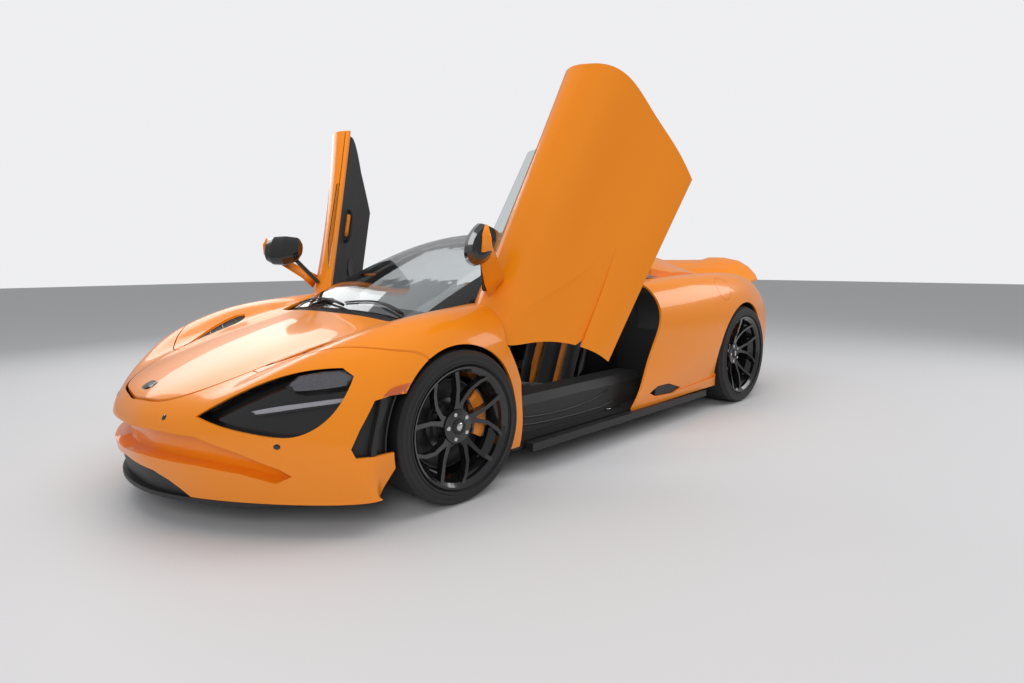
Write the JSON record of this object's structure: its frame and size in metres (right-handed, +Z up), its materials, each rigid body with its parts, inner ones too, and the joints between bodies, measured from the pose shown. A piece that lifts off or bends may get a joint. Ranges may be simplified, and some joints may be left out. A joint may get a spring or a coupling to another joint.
{
  "type": "supercar",
  "caption": "Low two-seat mid-engined supercar with upward-swinging doors, steered front wheels, lifting bonnet and rear wing.",
  "frame": {"origin": "on the ground, on the centreline, at the middle of the car's length", "axes": "+X forward to the nose, +Y to the car's left side, +Z up"},
  "size_m": [4.5626, 2.7966, 1.8892],
  "materials": {
    "paint": "gloss metallic orange",
    "gloss_black": "gloss",
    "black_plastic": "satin",
    "door_lining": "stitched",
    "leather": "matte with orange panels",
    "glass": "clear tinted",
    "lamp": "lamp units in a dark housing",
    "tail_lamp": "red lens",
    "tyre": "rubber",
    "rim": "gloss black",
    "disc": "machined",
    "cast": "cast",
    "steel": "brushed"
  },
  "bodies": {
    "chassis": {"arch_liners": "black_plastic", "back_glass": "glass", "bay_floor": "black_plastic", "bumper_front": "paint", "bumper_rear": "paint", "dashboard": "black_plastic", "deck": "paint", "diffuser": "black_plastic", "engine": "cast", "exhaust": "steel", "fender_left": "paint", "fender_right": "paint", "headlamps": "lamp", "intake": "paint", "luggage_tub": "black_plastic", "quarter_left": "paint", "quarter_right": "paint", "rear_grille": "black_plastic", "rear_pillars": "paint", "roof": "gloss_black", "screen_frame": "gloss_black", "seats": "leather", "side_vents": "black_plastic", "skirts": "black_plastic", "splitter": "black_plastic", "steering_wheel": "black_plastic", "suspension": "cast", "tail_lamps": "tail_lamp", "tub": "black_plastic", "undertray": "black_plastic", "windscreen": "glass"},
    "door_left_body": {"door_glass_left": "glass", "door_left": "paint", "door_mirror_left": "gloss_black", "door_trim_left": "door_lining"},
    "knuckle_left_body": {"knuckle_left": "cast"},
    "wheel_front_left": {"tyre_front_left": "tyre", "rim_front_left": "rim", "disc_front_left": "disc"},
    "wheel_rear_left": {"tyre_rear_left": "tyre", "rim_rear_left": "rim", "disc_rear_left": "disc"},
    "door_right_body": {"door_glass_right": "glass", "door_mirror_right": "gloss_black", "door_right": "paint", "door_trim_right": "door_lining"},
    "knuckle_right_body": {"knuckle_right": "cast"},
    "wheel_front_right": {"tyre_front_right": "tyre", "rim_front_right": "rim", "disc_front_right": "disc"},
    "wheel_rear_right": {"tyre_rear_right": "tyre", "rim_rear_right": "rim", "disc_rear_right": "disc"},
    "bonnet_body": {"bonnet": "paint"},
    "wing_body": {"wing": "paint"}
  },
  "joints": [
    {"name": "steer_left", "type": "hinge", "parent": "chassis", "child": "knuckle_left_body", "pos_m": [1.2645, 0.762, 0.326], "axis": [0, 0, 1], "range_deg": [-30, 30]},
    {"name": "wheel_front_left_spin", "type": "hinge", "parent": "knuckle_left_body", "child": "wheel_front_left", "pos_m": [1.2645, 0.837, 0.326], "axis": [0, 1, 0], "continuous": true},
    {"name": "wheel_rear_left_spin", "type": "hinge", "parent": "chassis", "child": "wheel_rear_left", "pos_m": [-1.4055, 0.806, 0.345], "axis": [0, 1, 0], "continuous": true},
    {"name": "door_left_swing", "type": "hinge", "parent": "chassis", "child": "door_left_body", "pos_m": [0.909, 0.751, 0.718], "axis": [0.257, 0.864, -0.433], "range_deg": [-73.2, 0]},
    {"name": "steer_right", "type": "hinge", "parent": "chassis", "child": "knuckle_right_body", "pos_m": [1.2645, -0.762, 0.326], "axis": [0, 0, 1], "range_deg": [-30, 30]},
    {"name": "wheel_front_right_spin", "type": "hinge", "parent": "knuckle_right_body", "child": "wheel_front_right", "pos_m": [1.2645, -0.837, 0.326], "axis": [0, 1, 0], "continuous": true},
    {"name": "wheel_rear_right_spin", "type": "hinge", "parent": "chassis", "child": "wheel_rear_right", "pos_m": [-1.4055, -0.806, 0.345], "axis": [0, 1, 0], "continuous": true},
    {"name": "door_right_swing", "type": "hinge", "parent": "chassis", "child": "door_right_body", "pos_m": [0.909, -0.751, 0.718], "axis": [-0.257, 0.864, 0.433], "range_deg": [-73.2, 0]},
    {"name": "bonnet_lift", "type": "hinge", "parent": "chassis", "child": "bonnet_body", "pos_m": [1.31, 0, 0.724], "axis": [0, -1, 0], "range_deg": [0, 60]},
    {"name": "wing_lift", "type": "slide", "parent": "chassis", "child": "wing_body", "axis": [0, 0, 1], "range_m": [-0.06, 0]}
  ],
  "couplings": [
    {"joint": "steer_right", "follows": "steer_left", "ratio": 1}
  ]
}
